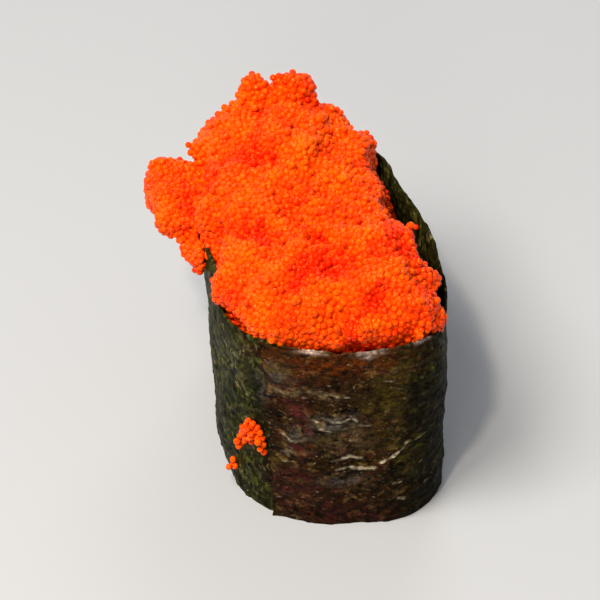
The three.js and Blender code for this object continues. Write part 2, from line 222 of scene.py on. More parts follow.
# Band of nori
band = {
    "length": 47.5,
    "width": 28.6,
    "height": 33,
    "squareness": 3,  # 2 is an ellipse, more is boxier
    "frontWidening": 0.18,
    "skew": 0.21,
    "footScale": 0.93,
    "layer": 0.45,  # how far one layer stands out
    "thickness": 0.3,
    "lapAngle": -0.65 * math.pi,  # the outer end of the sheet, at the front left
    "lapLength": 9,
    "lapSettle": 3,  # mm past the lap in which the outer layer comes down
    "lapLift": (0.25, 2),  # how far its end stands off, and how far in
    "lapTuck": 0.06,  # how far the layer under it draws in
    # slow swells of its face and waves of its rim: height, then radians a mm in x, y, z
    "faceSwells": [(0.2, 0.31, 0.22, 0.12), (0.12, -0.2, 0.45, 0.3)],
    "rimWaves": [(0.3, 0.31, -0.2, 0), (0.2, 0.5, 0.37, 0)],
    # where its rim flares: x, y, out and reach, then the share of the height where that starts
    # and how late it bends
    "rimFlares": [(-14.6, -5, -1, 6), (15, -4, 0.8, 4.5), (-9, 20, 0.7, 5), (11, 13, 0.6, 5)],
    "flareFrom": 0.72,
    "flareBend": 1.6,
    "rimNoise": [(0.14, 0.9, 2), (0.2, 3.1, 6)],  # height, size along and shift
    "worn": (0.985, 0.5),  # the share of the height where its relief fades, and how much of it goes
    "rimSteps": ((0.2, 0.06), (0.5, 0.09), (0.8, 0.06)),  # shares of the thickness, and how far up
    "tear": (0.5, 2.8, 1.5),  # unevenness of the outer end, its size up and how far it is felt
    "slowRise": (0.14, 5),  # of the face, and its size
    "columns": 580,
    "faceSteps": 17,
    "fineSteps": 8,  # of the outer face in each face step
    # ripples: sizes along and up, how their lines wander, and how narrow they are
    "flatRipples": (2.2, 0.85),
    "uprightRipples": (0.85, 1.6),
    "uprightFrom": (34, 26, 0.5),  # mm before the lap where these start, are full and stop
    "rippleWander": (0.7, 1.12, 4.5, 4),  # of the flat, of the upright, and its size along and up
    "rippleSharpness": 2.2,
    "rippleRise": (0.11, 0.11),  # and more where it is crinkled
    "ripplePatches": (5.5, 4.2, -0.45, 0.4),  # size along and up, and the noise from and to
    # finer unevenness: rise, size along and up, and shift
    "grains": [(0.12, 1.6, 1.5, 41), (0.08, 0.85, 0.85, 47), (0.06, 0.55, 0.55, 21)],
    "highlightShow": (0.25, 0.5, 5),  # how much painted highlight a ripple, a crinkled one and a mm of fold show
    # folds in the sheet: where each starts and ends as mm past the sheet's end and height, then
    # rise and width
    "folds": [
        (8.8, 13.2, 14.0, 12.6, 0.28, 0.26),
        (8.6, 11.2, 15.8, 10.4, 0.28, 0.36),
        (14.6, 11.2, 18.0, 13.2, 0.30, 0.26),
        (16.6, 12.2, 19.6, 15.0, 0.30, 0.24),
        (18.0, 14.4, 22.6, 15.2, 0.26, 0.24),
        (20.8, 15.2, 27.5, 17.6, 0.16, 0.22),
        (0.6, 12.8, 5.4, 12.2, 0.14, 0.18),
        (5.6, 21.2, 7.4, 20.2, 0.20, 0.20),
        (6.6, 19.4, 9.0, 18.6, 0.18, 0.20),
        (8.4, 20.6, 12.6, 20.2, 0.20, 0.20),
        (10.6, 21.4, 12.4, 19.4, 0.20, 0.20),
        (11.4, 19.4, 14.2, 19.0, 0.16, 0.20),
        (1.6, 25.4, 6.4, 24.6, 0.16, 0.26),
        (6.4, 26.4, 12.2, 24.1, 0.16, 0.26),
        (14.6, 27.6, 18.4, 26.6, 0.14, 0.24),
        (1.4, 17.6, 4.8, 16.2, 0.14, 0.18),
        (16.4, 26.2, 20.4, 24.8, 0.12, 0.24),
        (16.8, 4.4, 19.2, 4.0, 0.22, 0.26),
        (16.6, 7.6, 18.6, 7.2, 0.18, 0.22),
        (21.4, 5.3, 23.4, 5.7, 0.20, 0.24),
        (19.4, 9.6, 22.0, 10.6, 0.16, 0.22),
    ],
    "foldWander": (0.3, 1.1, 6),  # mm off its line, and its size along and up
    "foldBreaks": (0.65, 0.6, 0.6, 2),  # mean strength, how much it varies, and its size along and up
    # where it is crinkled most: mm past the sheet's end, height, reach along, reach up and strength
    "crinkled": [(2.5, 16, 3, 5, 0.45), (9, 20, 4, 2.4, 0.6), (10, 15, 4, 3, 0.4), (20, 6, 4, 4, 0.6),
                 (-4, 17, 3.5, 16, 0.6), (-9, 17, 3.5, 18, 0.4)],
}


def waveSum(waves, x, y, z):
    # Height times the sine of the radians gone in x, y and z, added up over the waves.
    return sum(height * np.sin(alongX * x + alongY * y + alongZ * z)
               for height, alongX, alongY, alongZ in waves)


def outlineTable(facts, steps=8000):
    # The foot's rounded oblong, |x|^n + |y|^n = 1 scaled to the band, wider at the front and
    # skewed, with the length gone along it anticlockwise from the sheet's outer end.
    angle = facts["lapAngle"] + np.linspace(0, 2 * math.pi, steps + 1)
    power = 2 / facts["squareness"]
    across = np.sign(np.cos(angle)) * np.abs(np.cos(angle)) ** power
    along = np.sign(np.sin(angle)) * np.abs(np.sin(angle)) ** power
    x = facts["width"] / 2 * across * (1 - facts["frontWidening"] * along)
    y = facts["length"] / 2 * along - facts["skew"] * x
    return np.concatenate([[0], np.cumsum(np.hypot(np.diff(x), np.diff(y)))]), x, y


outlineRun, outlineX, outlineY = outlineTable(band)
perimeter = outlineRun[-1]


def edgeAt(run):
    # Place and outward direction on the outline, run mm past the sheet's outer end. Outwards is
    # a quarter turn to the right of the way from a little before the place to a little after it.
    step = 0.26

    def at(shift, values):
        # The outline's values, read off its table shift mm further on.
        return np.interp((run + shift) % perimeter, outlineRun, values)

    forwardX, forwardY = at(step, outlineX) - at(-step, outlineX), at(step, outlineY) - at(-step, outlineY)
    length = np.hypot(forwardX, forwardY)
    return at(0, outlineX), at(0, outlineY), forwardY / length, -forwardX / length


def facePoint(run, height, out, level):
    # The band's face leans out to the rim, swells slowly and flares at some places of the
    # rim; the point stands out mm outwards from it.
    x, y, outX, outY = edgeAt(run)
    lean = band["footScale"] + (1 - band["footScale"]) * np.clip(height / band["height"], 0, 1)
    start = band["flareFrom"]
    bend = np.clip((level - start) / (1 - start), 0, None) ** band["flareBend"]
    flare = sum(far * np.exp(-((x - atX) ** 2 + (y - atY) ** 2) / reach ** 2)
                for atX, atY, far, reach in band["rimFlares"])
    push = out + waveSum(band["faceSwells"], x, y, height) + flare * bend
    return np.stack([x * lean + outX * push, y * lean + outY * push, height + 0 * x], -1)


def rimHeight(run):
    # The band's height, with slow waves by the place on its outline and finer noise along it.
    x, y, _, _ = edgeAt(run)
    uneven = sum(rise * softNoise(run / size, 0, shift) for rise, size, shift in band["rimNoise"])
    return band["height"] + waveSum(band["rimWaves"], x, y, 0) + uneven


def foldRise(run, height, facts):
    # A ridge that falls off as a bell away from the line between two places, and fades over a
    # quarter of it at each end.
    startRun, startHeight, endRun, endHeight, rise, width = facts
    stepRun, stepHeight = endRun - startRun, endHeight - startHeight
    length = math.hypot(stepRun, stepHeight)
    share = ((run - startRun) * stepRun + (height - startHeight) * stepHeight) / length ** 2
    far, along, up = band["foldWander"]
    wander = far * softNoise(run / along, height / up, startRun)
    away = ((run - startRun) * stepHeight - (height - startHeight) * stepRun) / length + wander
    fade = np.clip(4 * share, 0, 1) * np.clip(4 * (1 - share), 0, 1)
    mean, change, along, up = band["foldBreaks"]
    broken = np.clip(mean + change * softNoise(run / along, height / up, endRun), 0, 1)
    return rise * fade * broken * np.exp(-(away / width) ** 2)


def spotsAt(spots, run, height):
    # Adds up a bell for each spot of the sheet, from 0 to 1.
    total = 0
    for atRun, atHeight, reachRun, reachHeight, strength in spots:
        along = (run - atRun + perimeter / 2) % perimeter - perimeter / 2
        up = height - atHeight
        total = total + strength * np.exp(-(along / reachRun) ** 2 - (up / reachHeight) ** 2)
    return np.clip(total, 0, 1)


def sheetRelief(run, height):
    # Relief of the sheet's outer face in mm: long flat ripples in patches, upright ones to the
    # left of the lap, a grain, and the folds. A ripple is a crest along the line where a noise
    # is nought. The last number of each noise only picks another one. The second value is the
    # amount of creasing, 0 to 1, which sets how much painted highlight it gets.
    flatWander, uprightWander, along, up = band["rippleWander"]
    wander = softNoise(run / along, height / up, 3)
    sharpness = band["rippleSharpness"]
    along, up = band["flatRipples"]
    flat = 1 - sharpness * np.abs(softNoise(run / along, height / up + flatWander * wander, 0.5))
    along, up = band["uprightRipples"]
    upright = 1 - sharpness * np.abs(softNoise(run / along + uprightWander * wander, height / up, 7.5))
    start, full, stop = band["uprightFrom"]
    left = smoothStep(run, perimeter - start, perimeter - full)
    left = left * (1 - smoothStep(run, perimeter - stop, perimeter))
    along, up, low, high = band["ripplePatches"]
    patch = smoothStep(softNoise(run / along, height / up, 11.5), low, high)
    crinkled = spotsAt(band["crinkled"], run, height)
    ripple = np.clip(flat * (1 - left) + upright * left, 0, 1) ** 2 * np.maximum(patch, crinkled)
    folds = sum(foldRise(run, height, facts) for facts in band["folds"])
    grain = sum(rise * softNoise(run / along, height / up, shift)
                for rise, along, up, shift in band["grains"])
    plain, more = band["rippleRise"]
    plainShow, moreShow, foldShow = band["highlightShow"]
    creaseHighlight = (plainShow + moreShow * crinkled) * ripple + foldShow * folds
    return (plain + more * crinkled) * ripple + folds + grain, np.clip(creaseHighlight, 0, 1)


def makeSheet(facts, material):
    # The sheet wound round once and on under its own outer end: run along it by a loop round
    # its section, which goes up the outer face, over the rim and down the inner face.
    run = np.linspace(0, perimeter + facts["lapLength"], facts["columns"])[:, None]
    settle = smoothStep(run, facts["lapLength"], facts["lapLength"] + facts["lapSettle"])
    lift, liftReach = facts["lapLift"]
    lap = np.where(run < perimeter, facts["layer"] * (1 - settle) + lift * np.exp(-run / liftReach), 0)
    out = facts["layer"] + lap - facts["lapTuck"] * (run > perimeter)
    top = rimHeight(run)
    tear, tearSize, tearReach = facts["tear"]
    slowRise, slowSize = facts["slowRise"]
    wornFrom, wornMost = facts["worn"]

    def face(levels, depth, detail):
        # A strip of the section: levels from 0, the foot, to 1, the rim, and how deep below the
        # outer face. The sheet's outer end is torn a little unevenly.
        height = levels * top
        torn = run + tear * softNoise(0, height / tearSize, 5) * np.exp(-run / tearReach)
        relief, creaseHighlight = sheetRelief(torn, height)
        x, y, _, _ = edgeAt(torn)
        slow = slowRise * softNoise(x / slowSize, y / slowSize, height / slowSize)
        worn = wornMost * smoothStep(levels, wornFrom, 1)
        stand = out + slow + detail * relief * (1 - worn) - depth
        places = np.stack(np.broadcast_arrays(run, levels * facts["height"]), -1)
        return facePoint(torn, height, stand, levels), places, creaseHighlight

    steps, fine = facts["faceSteps"], facts["fineSteps"]
    thickness = facts["thickness"]
    rimDepths, rimRises = np.array(facts["rimSteps"]).T
    strips = [
        face(np.linspace(0, 1, fine * steps + 1)[None, :], 0, 1),
        face(np.ones((1, len(rimDepths))), thickness * rimDepths[None, :], 0.5),
        face(np.linspace(1, 0, steps + 1)[None, :], thickness, 0),
        face(np.zeros((1, 1)), thickness / 2, 0.5),
    ]
    points, places, creaseHighlight = (np.concatenate(parts, 1) for parts in zip(*strips))
    outerCount = fine * steps + 1
    points[:, outerCount:outerCount + len(rimRises), 2] += rimRises
    rows, loop = points.shape[:2]
    # each end is closed by strips between one step of the inner face and the fine ones of the outer
    inner = outerCount + len(rimRises) + steps - np.arange(steps + 1)
    ends = np.column_stack([inner[:-1], fine * np.arange(steps)[:, None] + np.arange(fine + 1), inner[1:]])
    topGap = np.concatenate([inner[-1:], np.arange(outerCount - 1, outerCount + len(rimRises))])[None, :]
    footGap = np.array([[inner[0], loop - 1, 0]])
    last = (rows - 1) * loop
    endSets = [ends, topGap, footGap, last + ends[:, ::-1], last + topGap[:, ::-1], last + footGap[:, ::-1]]
    marks = {name: spotsAt(spots, places[..., 0], places[..., 1]) for name, (_, _, spots) in stainsAndLight.items()}
    # the painted highlight of the creases is hidden where the painted shade lies
    marks["creaseHighlight"] = creaseHighlight * (1 - noriLook["shadeHidesHighlight"] * marks["paintedShade"])
    addPiece("noriBand", points.reshape(-1, 3), [gridFaces(rows, loop), *endSets], material, ["nori"],
             places.reshape(-1, 2), {name: values.ravel() for name, values in marks.items()})


# The sheet's stain marks, and light and shade painted on it like them: a colour, how much of it
# shows between its patches, and soft spots as mm past the sheet's end, height, reach along,
# reach up and strength
stainsAndLight = {
    # painted light: a reddish-brown glow below the rim, as the roe's orange light would cast
    "paintedRoeGlow": ("#582607", 0.05, [(9, 31, 9, 2.4, 0.8)]),
    "maroon": ("#4a1c1c", 0.05, [(3, 26, 2.5, 4, 0.4), (4.6, 21.8, 1.2, 1.2, 0.9), (3.5, 7, 4, 4, 0.5),
                                 (4.8, 14.8, 1.2, 1.3, 0.9), (12, 2, 6, 2.5, 0.5)]),
    "olive": ("#463a10", 0.05, [(16, 23, 2.5, 6, 0.6), (2.2, 29.3, 1.8, 1.5, 0.7)]),
    "brown": ("#65543a", 0.05, [(11, 16.5, 3, 2, 0.5), (3, 25.4, 2.2, 0.7, 0.9), (8, 25.3, 2.2, 0.6, 0.9)]),
    # painted sheen: greyish highlights over crinkled places
    "greySheen": ("#635d54", 0.05, [(9, 20.2, 2.6, 1.2, 0.7), (4.5, 17.5, 1.5, 1.2, 0.5), (10.5, 8.5, 3, 1, 0.4),
                               (-7, 27, 4, 3.5, 0.2), (1.6, 28.5, 1.2, 1.6, 0.6), (-0.6, 24, 0.8, 3, 0.5)]),
    # painted shade: a very dark colour put where shade falls, over the right side and front-right corner, the
    # front foot and beside the lap's end
    "paintedShade": ("#040302", 0.5, [(31, 16, 9, 30, 0.95), (31, 16, 7, 30, 0.5), (17, 2, 12, 5, 0.7),
                               (-1.2, 20, 1, 14, 0.6), (20.5, 20, 2.5, 8, 0.6)]),
    # painted highlight: whitish slivers where the rim's edge catches the light
    "paintedRimHighlight": ("#b4a090", 0.2, [(6.2, 33, 1.3, 0.25, 0.9), (13.8, 32.6, 1.4, 0.55, 1.0),
                              (20.6, 33, 0.9, 0.3, 0.9)]),
}


noriLook = {
    "lapGround": "#221508",
    # the green beside the lap is partly the nori's own dark green and partly a painted green reflection
    "sideGroundAndReflection": "#1b1c07",
    "lapEnd": 20,  # mm past the sheet's end where the browner part is over
    "lapFade": 4,  # mm to either side of that
    # painted over the ground, on the lap, beside it or on all: height in mm, length against
    # height, detail, noise from and to, most, the size of the clusters that it comes in, and colour
    "layers": [
        ("all", 2.4, 1.1, 5, 0.46, 0.55, 0.85, 6.0, "#0a0703"),
        ("lap", 2.0, 1.1, 5, 0.52, 0.62, 0.70, 7.0, "#421a12"),
        ("lap", 2.2, 1.1, 5, 0.52, 0.62, 0.70, 8.0, "#3a2f0a"),
        ("lap", 1.5, 1.1, 5, 0.53, 0.61, 0.80, 4.5, "#5e4726"),
        ("beside", 1.8, 0.6, 5, 0.50, 0.60, 0.80, 6.0, "#3d4312"),
        ("beside", 1.5, 0.6, 4, 0.52, 0.62, 0.70, 5.0, "#5e582e"),
        ("beside", 1.8, 0.5, 3, 0.60, 0.67, 0.60, 4.0, "#8a7c58"),
        ("all", 1.1, 1.0, 6, 0.52, 0.59, 0.95, 3.0, "#050403"),
        ("lap", 0.42, 1.6, 3, 0.60, 0.70, 0.60, 3.0, "#8a7a62"),
    ],
    "clusters": (1.2, 2, 0.42, 0.56),  # length against height, detail, noise from and to
    "markPatches": (1.1, 1.3, 5, 0.42, 0.56),  # height in mm, then the same
    # patches by height in mm, length against height, detail, shift, noise from and to, least and most
    "speckle": (0.6, 1.1, 5, 77, 0.3, 0.7, 0.3, 1.8),  # multiplies the colour
    "roughness": (1.2, 1.5, 3, 51, 0.3, 0.7, 0.3, 0.5),
    "highlightPatches": (0.4, 2.0, 2, 47, 0.38, 0.55, 0.3, 1.0),
    # painted highlights along the creases, over the lap and beside it
    "lapCreaseHighlight": "#a5987e",
    "sideCreaseHighlight": "#7d7446",
    "highlightRange": (0.3, 0.9),  # the creasing where the painted highlight starts to show and where it shows most
    "highlightMost": 0.9,
    "shadeHidesHighlight": 0.45,  # how much of the creases' painted highlight the painted shade hides
    # height in mm, length against height, detail, strength and depth in mm
    "bumps": [(1.3, 1.3, 4, 0.7, 0.4), (0.3, 1.4, 4, 0.8, 0.14)],
    "shine": 0.015,
    "shineTint": "#f0dcbc",
}


def patches(tree, sheet, size, stretch, detail, shift, low=0, high=1, least=0, most=1):
    # Noise over the sheet in patches size mm high and stretch times as long. It goes from least,
    # where the noise is low, to most, where it is high. The shift only picks other patches.
    scaled = addNode(tree, "ShaderNodeMapping", {
        "Vector": sheet, "Scale": (1 / (size * stretch), 1 / size, 1), "Location": (shift,) * 3,
    })
    noise = addNode(tree, "ShaderNodeTexNoise", {
        "Vector": scaled.outputs[0], "Scale": 1.0, "Detail": detail, "Roughness": 0.6,
    })
    ranged = addNode(tree, "ShaderNodeMapRange", {0: noise.outputs[0], 1: low, 2: high, 3: least, 4: most})
    return ranged.outputs[0]


def paintOver(tree, ground, shade, *amounts):
    # The ground with a shade painted over it, as much as the amounts multiplied together.
    amount = amounts[0]
    for more in amounts[1:]:
        amount = addNode(tree, "ShaderNodeMath", {0: amount, 1: more}, operation="MULTIPLY").outputs[0]
    return addNode(tree, "ShaderNodeMix", {0: amount, 6: ground, 7: shade}, data_type="RGBA").outputs[2]


def noriMaterial(look):
    # Roasted seaweed gone moist: brown olive with maroon and very dark patches over the lap, dark
    # green beside it, partly a painted green reflection, paler fibres, painted highlights on its
    # creases and rim, painted greyish sheen, a painted glow of the roe's light below the rim,
    # painted shade, and a satin crinkled skin.
    material, tree = newMaterial("moistNori")
    sheet = addNode(tree, "ShaderNodeUVMap", uv_map="sheet").outputs[0]
    run = addNode(tree, "ShaderNodeSeparateXYZ", {0: sheet}).outputs[0]
    end, fade = look["lapEnd"], look["lapFade"]
    onLap = addNode(tree, "ShaderNodeMapRange", {0: run, 1: end + fade, 2: end - fade}).outputs[0]
    beside = addNode(tree, "ShaderNodeMapRange", {0: onLap, 3: 1.0, 4: 0.0}).outputs[0]
    parts = {"all": [], "lap": [onLap], "beside": [beside]}
    clusterStretch, clusterDetail, clusterLow, clusterHigh = look["clusters"]
    markSize, markStretch, markDetail, markLow, markHigh = look["markPatches"]
    # the lap's brown over the green beside it, which is partly a painted green reflection
    ground = paintOver(tree, colour(look["sideGroundAndReflection"]), colour(look["lapGround"]), onLap)
    for index, (part, size, stretch, detail, low, high, most, cluster, shade) in enumerate(look["layers"]):
        amount = patches(tree, sheet, size, stretch, detail, 5 + 6 * index, low, high, 0, most)
        clusters = patches(tree, sheet, cluster, clusterStretch, clusterDetail, 90 + 7 * index,
                           clusterLow, clusterHigh)
        ground = paintOver(tree, ground, colour(shade), amount, clusters, *parts[part])
    # each stain mark, and the light and shade painted like one
    for index, (name, (shade, least, _)) in enumerate(stainsAndLight.items()):
        markAmount = addNode(tree, "ShaderNodeAttribute", attribute_name=name).outputs["Fac"]
        broken = patches(tree, sheet, markSize, markStretch, markDetail, 33 + 8 * index,
                         markLow, markHigh, least)
        ground = paintOver(tree, ground, colour(shade), markAmount, broken)
    # painted highlights along the creases, broken into patches
    creaseHighlight = addNode(tree, "ShaderNodeAttribute", attribute_name="creaseHighlight").outputs["Fac"]
    low, high = look["highlightRange"]
    shown = addNode(tree, "ShaderNodeMapRange", {0: creaseHighlight, 1: low, 2: high, 4: look["highlightMost"]})
    highlightColour = paintOver(tree, colour(look["sideCreaseHighlight"]), colour(look["lapCreaseHighlight"]), onLap)
    broken = patches(tree, sheet, *look["highlightPatches"])
    ground = paintOver(tree, ground, highlightColour, shown.outputs[0], broken)
    speckle = patches(tree, sheet, *look["speckle"])
    ground = addNode(tree, "ShaderNodeVectorMath", {0: ground, 3: speckle}, operation="SCALE").outputs[0]
    bumped = {}
    for index, (size, stretch, detail, strength, depth) in enumerate(look["bumps"]):
        height = patches(tree, sheet, size, stretch, detail, 61 + 9 * index)
        bump = addNode(tree, "ShaderNodeBump", {
            "Height": height, "Strength": strength, "Distance": depth * mm, **bumped,
        })
        bumped = {"Normal": bump.outputs[0]}
    shader = addNode(tree, "ShaderNodeBsdfPrincipled", {
        "Base Color": ground, "Roughness": patches(tree, sheet, *look["roughness"]), **bumped,
        "Specular IOR Level": look["shine"], "Specular Tint": colour(look["shineTint"]),
    })
    addNode(tree, "ShaderNodeOutputMaterial", {"Surface": shader.outputs[0]})
    return material


makeSheet(band, noriMaterial(noriLook))
print("band of nori made")


# Roe
roe = {
    "size": 0.94,
    "sizeSpread": 0.07,
    "squash": 0.05,
    "spacing": 0.74,  # the least distance between middles in a layer
    "tries": 76000,
    "sink": (0.33, 0.1),  # depth of the outer layer's middles below the heap's skin, and its spread
    "innerSink": 0.52,  # of the layer under it
    "coreSink": 0.38,
    "smoothing": (4, 0.5, 0.52),  # rounds, and shares of the way to and back from the mean
    "lowest": 30.2,  # no egg lies below this inside the band
    # hollows and humps of its clumps: x, y, reach and rise
    "clumps": [
        (-8.5, -5.7, 2.0, -1.3), (-0.4, -14.8, 2.4, -1.6), (-4.2, -15.1, 1.6, -1.0), (-0.7, -9.1, 1.4, -0.8),
        (-15.4, 6.4, 1.8, -1.1), (-6.7, 7.6, 2.0, -0.9), (4.3, -21.3, 1.6, -1.1), (1.3, -23.1, 1.3, -0.8),
        (-5.4, -17.5, 1.5, -0.8), (9.4, -14.1, 1.8, -0.6), (0.7, 5.3, 3.0, 0.6),
        (3.9, 1.4, 2.0, 0.5), (-4.8, -5.6, 1.8, 0.5), (5.4, -10.5, 1.8, 0.5), (-11.5, -10.0, 2.0, 0.4),
        (-7.5, -14.5, 1.6, 0.5), (0.2, -19.4, 1.6, 0.6), (-10.1, -19.5, 2.0, 0.5), (-9.1, -0.1, 1.6, 0.4),
    ],
    "clumpNoise": [(3.4, 0.35), (1.7, 0.2)],  # size and rise
    # places where its outline is drawn in or out: x, y, reach, and how far along x, y and z
    "edges": [
        (-18.0, 14.6, 2.4, -1.1, 1.2, 1.2), (-13.9, 13.6, 1.8, 1.4, 0, -1.4),
        (-14.2, 11.2, 1.6, 0.8, 0, -1.2), (-20.6, 8.4, 2.2, 0.7, 0.2, 0.2), (-16.6, 1.0, 1.6, 1.0, 0, 0.3),
        (-14.4, 1.0, 1.8, -0.9, 0, 0), (-14.4, -7.4, 1.8, 1.0, 0, 0), (-14.4, -16.6, 2.2, 1.6, 0.6, 0),
        (3.8, 12.0, 2.0, 0, 0, 0.6), (3.2, 7.6, 2.0, 0, 0, 0.6), (7.9, 16.6, 2.4, -0.9, -0.5, -0.7),
        (5.8, 19.2, 1.8, 0.3, 0.3, 0.7), (11.2, 9.5, 1.6, -0.8, 0, 0), (11.4, -13.0, 2.4, -1.0, 0, -0.5),
        (13.0, -17.2, 2.6, -2.4, 0, -1.3), (14.0, -22.6, 2.4, -1.2, 0.3, 0), (-1.2, 20.8, 1.2, 0, 0, 0.8),
        (1.4, 20.6, 2.0, 0, 0, 0.5), (0.4, 20.2, 1.6, 0, 0, 0.8), (3.6, 20.2, 1.8, -0.8, 0, 0.2),
        (-6.4, 21.2, 1.4, 0.5, 0, 0), (-8.2, 19.2, 2.0, -0.2, 0.3, 0.5),
    ],
    "toneAndShade": (0.43, 0.55, -0.85),  # redness: mean, spread, and change for each mm that a clump rises, which is painted shade: deeper red in hollows, paler on humps
    "shadedRedder": [(0.6, -9.6, 6.5, 0.24), (-16, 6.5, 4, 0.08)],  # painted shade: places of the heap made deeper red where it lies in shade: x, y, reach and how much
    # eggs loose on top: how many are tried, how far up the skin faces there, and their shift
    "loose": (240, 0.4, 0.15),
    "outerShape": (9, 6),  # faces round an egg and from pole to pole
    "innerShape": (7, 5),
    "skin": ("wetRoe", "#e65400", "#ce1a00", 0.11),  # material, palest and reddest colour, roughness
    "inside": ("roeInside", "#fa4400", "#f03400", 0.7),
    "clumpSize": 5,  # mm, of the clumps of deeper red eggs
    "clumpShare": 0.6,
    "redness": (0.3, 1.3),  # each egg's mark, painted shade included, and the clumps together, where it is palest and reddest
    "shine": 0.45,
    "shineTint": "#ffb874",
    "glow": ((1.0, 0.4, 0.12), 0.2),  # how far light goes in by colour, and the depth in mm
}


def nodeSurface(name):
    # A node's points in mm and its triangles, from a merged copy of its mesh.
    mergeDistance = 0.002 * mm
    work = bmesh.new()
    work.from_mesh(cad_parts[name].data)
    bmesh.ops.remove_doubles(work, verts=work.verts, dist=mergeDistance)
    mesh = bpy.data.meshes.new("copy")
    work.to_mesh(mesh)
    work.free()
    points, corners = np.empty(len(mesh.vertices) * 3), np.empty(len(mesh.loops), np.int32)
    mesh.vertices.foreach_get("co", points)
    mesh.loops.foreach_get("vertex_index", corners)
    bpy.data.meshes.remove(mesh)
    return points.reshape(-1, 3) / mm, corners.reshape(-1, 3)


def sumAt(index, values, count):
    # Adds up the rows of values that share an index, for each index under count.
    return np.stack([np.bincount(index, values[:, axis], count) for axis in range(3)], 1)


def smoothed(points, triangles, rounds, inward, back):
    # Each round moves every point part of the way to the mean of its neighbours and then a
    # little further back from it, which evens the skin without shrinking it.
    pairs = np.concatenate([triangles[:, [0, 1]], triangles[:, [1, 2]], triangles[:, [2, 0]]])
    count = np.bincount(pairs[:, 0], minlength=len(points))[:, None]
    for share in (inward, -back) * rounds:
        mean = sumAt(pairs[:, 0], points[pairs[:, 1]], len(points)) / count
        points = points + share * (mean - points)
    return points


def faceNormals(points, triangles):
    # The normal of each triangle, as long as twice its area.
    corners = points[triangles]
    return np.cross(corners[:, 1] - corners[:, 0], corners[:, 2] - corners[:, 0])


def skinNormals(points, triangles):
    # The sum of the area-weighted normals of the faces round each point, made one long.
    total = sumAt(triangles.ravel(), np.repeat(faceNormals(points, triangles), 3, axis=0), len(points))
    return total / np.linalg.norm(total, axis=1, keepdims=True)


def distances(first, second):
    # Squared distances between two lists of points, as a table.
    return (first ** 2).sum(1)[:, None] + (second ** 2).sum(1)[None, :] - 2 * first @ second.T


def keepApart(places, spacing, batches):
    # The numbers of the places to keep: batch by batch, a place is kept if none kept before
    # lies within the spacing of it, nor an earlier one of its batch. More batches keep more.
    kept = np.empty(0, int)
    for batch in np.array_split(np.arange(len(places)), batches):
        batch = batch[(distances(places[batch], places[kept]) > spacing ** 2).all(1)]
        close = np.tril(distances(places[batch], places[batch]) < spacing ** 2, -1).any(1)
        kept = np.concatenate([kept, batch[~close]])
    return kept


def spreadOver(points, normals, triangles, spacing, tries, random):
    # Random places on the triangles, spread evenly by area and kept apart, with their normals.
    batchSize = 400
    area = np.linalg.norm(faceNormals(points, triangles), axis=1)
    pick = random.choice(len(triangles), tries, p=area / area.sum())
    weights = random.dirichlet((1, 1, 1), tries)[:, :, None]
    places = (points[triangles][pick] * weights).sum(1)
    facing = (normals[triangles[pick]] * weights).sum(1)
    kept = keepApart(places, spacing, tries // batchSize)
    return places[kept], facing[kept] / np.linalg.norm(facing[kept], axis=1, keepdims=True)


def ballShape(around, along):
    # A ball of radius 1 with a point at each pole: rings at equal steps of latitude.
    latitude = math.pi * np.arange(1, along)[:, None] / along
    turn = 2 * math.pi * np.arange(around)[None, :] / around
    across = np.sin(latitude)
    rings = np.broadcast_arrays(across * np.cos(turn), across * np.sin(turn), -np.cos(latitude))
    rings = np.stack(rings, -1)
    points = np.concatenate([[[0, 0, -1.0]], rings.reshape(-1, 3), [[0, 0, 1.0]]])
    ring = 1 + np.arange(around)
    top = ring + (along - 2) * around
    return points, [gridFaces(along - 1, around) + 1, fanFaces(0, ring[::-1]), fanFaces(len(points) - 1, top)]


def randomTurns(count, random):
    # Turns that point every way alike, as matrices from random unit quaternions.
    turn = random.normal(size=(4, count))
    w, x, y, z = turn / np.linalg.norm(turn, axis=0)
    return np.stack([
        np.stack([1 - 2 * (y * y + z * z), 2 * (x * y - z * w), 2 * (x * z + y * w)], -1),
        np.stack([2 * (x * y + z * w), 1 - 2 * (x * x + z * z), 2 * (y * z - x * w)], -1),
        np.stack([2 * (x * z - y * w), 2 * (y * z + x * w), 1 - 2 * (x * x + y * y)], -1),
    ], 1)


def copiesOf(shape, faceSets, places, turns, sizes):
    # The shape at every place, stretched by its sizes and then turned, as one mesh.
    points = places[:, None, :] + np.einsum("nij,nkj->nki", turns, shape[None] * sizes[:, None, :])
    shift = (np.arange(len(places)) * len(shape))[:, None, None]
    return points.reshape(-1, 3), [(faces[None] + shift).reshape(-1, faces.shape[1]) for faces in faceSets]


def bellsAt(spots, places):
    # Adds up a bell for each spot, of one height or of a move along x, y and z, in mm.
    x, y = places[:, :1], places[:, 1:2]
    return sum(np.exp(-((x - atX) ** 2 + (y - atY) ** 2) / reach ** 2) * far
               for atX, atY, reach, *far in spots)


def clumpRise(places):
    # How far the clumps rise at a place in mm: slow noise, and the hollows and humps.
    noise = sum(rise * softNoise(*(places.T / size)) for size, rise in roe["clumpNoise"])
    return noise + bellsAt(roe["clumps"], places)[:, 0]


